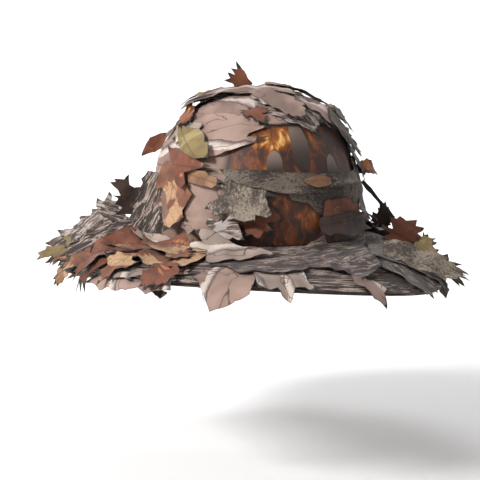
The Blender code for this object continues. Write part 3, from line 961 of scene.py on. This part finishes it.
def lay_top():
    """The tip panel's leaves, from the back forward. Runs above the seam are placed on a flat chart."""
    leaf("tip_panel_back", "grey_bark", "panel", 165, -165, 66, 84)
    leaf("tip_panel_left", "taupe", "torn", -112, -160, 68, 70, lift=1)
    leaf("tip_back_right_leaf", "rust", "maple", 140, -150, 56, 50, -14)
    leaf("tip_back_left_leaf", "mottled", "maple", -150, -150, 50, 44, 20, lift=6)
    leaf("tip_dark_fringe", "dark", "torn", -60, -166, 52, 40, -34, lift=5)
    leaf("tip_panel_right", "mottled", "strip", 88, -176, 88, 36, lift=2)
    leaf("tip_right_grey", "taupe", "torn", 40, -158, 62, 46, 30, lift=1)
    leaf("tip_branch_right", "grey_bark", "panel", 16, -128, 44, 34, 62, lift=1)
    leaf("tip_rust_bit", "rust", "maple", -8, -124, 26, 26, 40, lift=1)
    leaf("tip_orange_bit", "orange", "panel", -84, -114, 44, 18, 84, lift=1)
    leaf("tip_panel_front", "taupe", "torn", -89, -113, 108, 46, 170, lift=1, print_at=(0, -4))
    leaf("tip_taupe_lobe", "taupe", "torn", -2, -150, 56, 30, 54, lift=2)
    leaf("tip_olive_sliver", "olive", "blade", -86, -112, 44, 12, 150, lift=2)
    leaf("tip_ridge_strip", "mottled", "strip", 60, -172, 78, 26, 28, lift=2)
    leaf("shoulder_grey_upper", "taupe", "torn", 44, -126, 52, 26, 58, lift=4)
    leaf("shoulder_grey_lower", "dark_lichen", "torn", 64, -108, 48, 34, 40, lift=4)
    leaf("shoulder_dark", "dark", "maple", 80, -112, 34, 28, 30, lift=5)
    leaf(
        "tip_peak_leaf", "rust", "fork", -60, -173, 24, 20,
        out=3, aim=(-0.82, 0, 0.57), face=(0, -1, 0.2), bend=10,
    )


def lay_crown():
    leaf("crown_back_panel", "grey_bark", "panel", 178, -98, 90, 84)
    leaf("crown_back_left_leaf", "tan", "maple", -138, -92, 76, 60, 10)
    leaf("crown_back_right_leaf", "rust", "maple", 134, -92, 78, 64, -10)
    leaf("crown_right_leaf", "dark_lichen", "torn", 78, -70, 66, 40, 4, lift=5)
    leaf("crown_right_upper", "dark", "torn", 82, -96, 50, 34, 0)
    leaf("crown_taupe_left", "taupe", "panel", -78, -100, 60, 50, lift=1)
    leaf("crown_swoosh_panel", "taupe", "swoosh", -90, -80, 122, 66, 92, lift=1, print_at=(0, -2))
    leaf("crown_seam_patch", "pale", "panel", -50, -103, 22, 30, lift=0)
    leaf("crown_olive_leaf", "olive", "olive_notched", -60, -98, 58, 30, 54, lift=5)
    leaf("crown_olive_bit", "olive", "blade", -76, -98, 16, 11, 20)
    leaf("crown_tan_leaf", "taupe", "panel", -27, -58, 56, 48, 4, print_at=(0, 22))
    leaf("crown_rust_under", "rust", "maple", -3, -34, 34, 50, 10, lift=4)
    leaf("crown_belt_leaf", "lichen", "belt_maple", -12, -56, 46, 60, lift=10, arch=3)
    leaf("crown_tan_strip", "tan", "strip", -46, -60, 48, 14, 78)
    leaf("crown_belt_right", "dark_lichen", "belt_patch", 15, -30, 82, 40, 90, lift=6)
    leaf("crown_belt_strip", "dark_lichen", "belt_wedge", -20, -54, 130, 16, 91, lift=2)
    leaf("crown_tan_sliver", "tan", "blade", 22, -53, 30, 11, 86)
    leaf("crown_belt_rust", "rust", "torn", 33, -28, 42, 25, 84)
    leaf("crown_mottled_leaf", "mottled", "mottled_oak", -51, -66, 64, 54, lift=5)
    leaf(
        "crown_bark_strip", "bark", "torn", -74, -56, 64, 30,
        out=3, aim=(-0.22, -0.3, -0.92), face=(-0.3, -0.95, 0), bend=8,
    )
    leaf("crown_rust_leaf", "rust", "rust_triangle", -63, -64, 60, 32, 88, lift=5)
    leaf(
        "crown_left_ribbon", "rust", "blade", -86, -88, 32, 14,
        out=5, aim=(-0.75, 0, -0.66), face=(0, -1, 0.1), bend=-30,
    )
    leaf(
        "crown_right_curl", "rust", "torn", 80, -56, 24, 18,
        aim=(0.8, -0.2, 0.5), face=(-0.3, -0.8, 0.5), bend=-110,
    )
    leaf("crown_right_stem", "dark", "stem", 88, -46, 48, 5.5, out=4, aim=(0.64, 0, -0.77), bend=-12)
    leaf("crown_dark_leaf", "dark", "dark_stand", -84, -26, 36, -38, out=7, aim=(-0.9, 0, 0.3), bend=14)


def lay_brim():
    leaf("brim_back_left_panel", "grey_bark", "panel", -144, 12, 76, 76)
    leaf("brim_back_right_panel", "bark", "panel", 128, 12, 76, 76)
    leaf("brim_back_panel", "taupe", "panel", 170, 12, 76, 86)
    leaf("brim_left_under", "grey_bark", "torn", -118, -6, 84, 60, 10, lift=8, arch=6)
    leaf("brim_left_rust_edge", "rust", "panel", -84, 46, 48, 50, 10, lift=2)
    leaf("brim_left_lump", "bark", "torn", -92, 0, 76, 54, lift=5, arch=3)
    leaf(
        "brim_bark_panel", "grey_bark", "torn", -98, 22, 80, 46,
        out=14, aim=(-0.88, -0.1, -0.46), face=(-0.1, -0.7, 0.7), bend=8,
    )
    leaf(
        "brim_left_upper", "grey_bark", "torn", -100, 16, 56, 40,
        out=20, aim=(-0.85, 0, -0.36), face=(-0.2, -0.6, 0.8), bend=-8,
    )
    leaf(
        "brim_right_rust", "rust", "maple", 80, 6, 66, 46,
        out=9, aim=(0.9, -0.05, -0.42), face=(-0.1, -0.65, 0.75), bend=-18,
    )
    leaf(
        "brim_right_back_rust", "dark", "maple", 96, 14, 24, 24,
        out=6, aim=(0.2, 0, 0.95), face=(0, -1, 0.2),
    )
    leaf("brim_taupe_front", "taupe", "panel", -34, 61, 42, 92, lift=1)
    leaf("brim_birch_front", "pale", "torn", -38, 72, 22, 66, -8, lift=0)
    leaf(
        "brim_loop_strip", "dark", "strip", -30, 84, 36, 8,
        out=-4, aim=(0.8, -0.3, -0.6), face=(0, -1, 0.3), bend=100,
    )
    leaf("brim_rust_panel", "rust", "ragged", -47, 40, 66, 64, 4, lift=0, arch=7)
    leaf(
        "brim_rust_arch", "rust", "torn", -50, 24, 74, 40,
        out=5, aim=(-0.9, -0.22, -0.24), face=(0, -0.7, 0.7), bend=-16,
    )
    leaf(
        "brim_bark_strip", "bark", "torn", -66, 4, 72, 28,
        out=9, aim=(-0.92, -0.15, -0.36), face=(0, -0.75, 0.65),
    )
    leaf("brim_rust_square", "mottled", "panel", -28, 16, 60, 50, 0)
    leaf("brim_rust_edge_1", "mottled", "maple", -62, 62, 38, 36, 6, lift=4)
    leaf("brim_rust_edge_2", "rust", "maple", -49, 66, 36, 34, 10, lift=4)
    leaf("brim_rust_edge_3", "mottled", "holly", -38, 68, 34, 30, -10, lift=4)
    leaf("brim_rust_edge_4", "rust", "torn", -26, 68, 34, 32, 8)
    leaf("brim_pale_panel", "pale", "torn", -42, 14, 50, 24, -80, lift=1)
    leaf("brim_rust_oak", "rust", "torn", -32, 6, 80, 34, -44, lift=4)
    leaf("brim_mottled_oak", "mottled", "maple", -24, 28, 50, 44, -60, lift=4)
    leaf("brim_right_panel_low", "front_bark", "panel", 50, 28, 66, 60, 20)
    leaf("brim_right_grey", "dark_lichen", "panel", 52, 24, 78, 50, 40, lift=2)
    leaf("crown_low_dark", "dark", "torn", 30, -12, 62, 26, 87, lift=2)
    leaf("brim_front_leaf", "taupe", "pentagon", -8, 52, 60, 44, lift=2)
    leaf("brim_front_bark_leaf", "pale", "hanging_bark", 6, 56, 46, 44, lift=2)
    leaf("brim_front_bark", "front_bark", "front_streak", -17, 48, 156, 48, 91, lift=2)
    leaf(
        "brim_light_leaf", "pale", "light_spiky", 8, 26, 72, 34,
        out=6, aim=(-0.96, -0.1, 0.1), face=(0, -0.6, 0.8), bend=-10,
    )
    leaf(
        "brim_grey_spiky", "grey_bark", "small_spiky", -5, -2, 33, 26,
        out=7, aim=(-0.97, 0, 0.12), face=(0, -0.8, 0.6), bend=-8,
    )
    # Painted shade: this fold gets the darker lichen print rather than taupe, standing in for the shade on
    # the hat's right side.
    leaf(
        "brim_right_fold", "lichen", "torn", 52, 36, 80, 30,
        out=7, aim=(0.95, 0.1, -0.28), face=(0, -0.6, 0.8), bend=-10,
    )
    leaf(
        "brim_right_patch", "olive", "maple", 80, 44, 30, 26,
        out=15, aim=(0.5, -0.3, -0.5), face=(0, -0.8, 0.6),
    )
    leaf("brim_right_leaf", "taupe", "hanging_dark", 30, 74, 28, 36, lift=1)
    leaf(
        "brim_right_tip", "mottled", "right_tip", 86, 68, 34, 16,
        out=6, aim=(0.9, 0, -0.42), face=(0, -0.9, 0.4),
    )
    leaf("brim_edge_rust", "dark", "blade", 78, 78, 22, 11, out=4, aim=(0.3, 0, -0.95), bend=-20)
    leaf(
        "brim_grey_leaf", "grey_bark", "spiky_stand", -96, 24, 30, -26,
        out=16, aim=(-0.93, 0, 0.36), face=(0, -1, 0.3),
    )
    leaf(
        "brim_olive_leaf", "olive", "olive_spread", -90, 73, 32, -22,
        out=6, aim=(-0.97, 0, -0.1), face=(0, -0.75, 0.65),
    )
    leaf(
        "brim_tan_strip", "tan", "strip", -76, 73, 31, 13,
        out=4, aim=(-0.5, -0.1, -0.85), face=(-0.2, -0.95, 0.2),
    )
    leaf("brim_back_right_leaf", "rust", "maple", 147, 50, 54, 56, 4, lift=6)
    leaf("brim_back_leaf", "tan", "maple", 174, 56, 48, 52, -4, lift=6)
    leaf("brim_back_left_leaf", "rust", "maple", -132, 52, 50, 52, lift=6)


def lay_rows():
    """Smaller leaves that fill the back and the sides, in overlapping rows."""
    draw = random.Random(7)
    cuts = ("maple", "holly", "torn", "fork", "oak")
    prints = ("rust", "taupe", "bark", "tan", "lichen", "mottled", "dark", "grey_bark", "pale")
    for row, (run, count, first, last) in enumerate(
        ((44, 8, 104, 256), (12, 8, 112, 262), (-24, 7, 108, 262), (-62, 6, 104, 250), (-98, 5, 110, 245))
    ):
        for k in range(count):
            azimuth = first + (last - first) * (k + 0.5 * (row % 2)) / count
            azimuth = (azimuth + draw.uniform(-5, 5) + 180) % 360 - 180
            size = draw.uniform(42, 58), draw.uniform(34, 48)
            name = f"fill_{row}_{k}"
            place = (azimuth, run + draw.uniform(-6, 6), *size, draw.uniform(-35, 35))
            leaf(name, draw.choice(prints), draw.choice(cuts), *place, lift=draw.uniform(3, 9))


# ---- the studio


def make_camera():
    elevation, distance = math.radians(7.5), 1.35
    aim = Vector((-0.015, 0.0, -0.007))
    back = Vector((0.0, -math.cos(elevation), math.sin(elevation)))
    data = bpy.data.cameras.new("camera")
    data.sensor_width = 36
    data.lens = 114.9
    camera = add_object("camera", data)
    camera.location = aim + back * distance
    camera.rotation_euler = back.to_track_quat("Z", "Y").to_euler()
    bpy.context.scene.camera = camera


def make_floor():
    """A pale round sweep whose rim rises all round the hat."""
    level, flat, bend, top, sides = -0.2, 2.2, 1.2, 4.2, 96
    profile = [(0.01, 0.0), (flat, 0.0)]
    for angle in np.linspace(0.1, math.pi / 2, 16):
        profile.append((flat + bend * math.sin(angle), bend - bend * math.cos(angle)))
    profile.append((flat + bend, top))
    turn = full_turn(sides)
    rings = [at_azimuth(turn, np.full(sides, r), np.full(sides, z + level)) for r, z in profile]
    mesh = bpy.data.meshes.new("floor")
    middle = tuple(reversed(range(sides)))
    faces = grid_faces(len(rings), sides, True)[:, ::-1].tolist() + [middle]
    mesh.from_pydata(np.concatenate(rings).tolist(), [], faces)
    mesh.shade_smooth()
    paper = bpy.data.materials.new("paper")
    paper.use_nodes = True
    shader = paper.node_tree.nodes["Principled BSDF"]
    set_inputs(shader, {"Base Color": (0.82, 0.82, 0.82, 1), "Roughness": 0.9})
    set_inputs(shader, {"Emission Color": (1, 1, 1, 1), "Emission Strength": 0.08})
    mesh.materials.append(paper)
    add_object("floor", mesh)


def make_light(name, place, aim, size, power):
    data = bpy.data.lights.new(name, "AREA")
    data.shape = "RECTANGLE"
    data.size, data.size_y = size
    data.energy = power
    light = add_object(name, data)
    light.location = place
    light.rotation_euler = (Vector(place) - Vector(aim)).to_track_quat("Z", "Y").to_euler()


def make_studio():
    bpy.context.scene.view_settings.view_transform = "Standard"
    make_floor()
    make_light("key", (-1.35, -1.1, 1.2), (0, 0, 0.03), (0.5, 0.5), 53)
    make_light("top", (-0.3, 0.3, 1.6), (0, 0, 0.03), (0.8, 0.5), 9)
    make_light("sweep", (0, 1.5, 1.3), (0, 2.7, -0.2), (2.2, 0.5), 45)
    world = bpy.data.worlds.new("world")
    world.use_nodes = True
    set_inputs(world.node_tree.nodes["Background"], {"Color": (1, 1, 1, 1), "Strength": 0.015})
    bpy.context.scene.world = world


make_crown()
make_brim()
make_sweatband()
make_threads()
lay_rows()
lay_crown()
lay_brim()
lay_top()
make_studio()
make_camera()
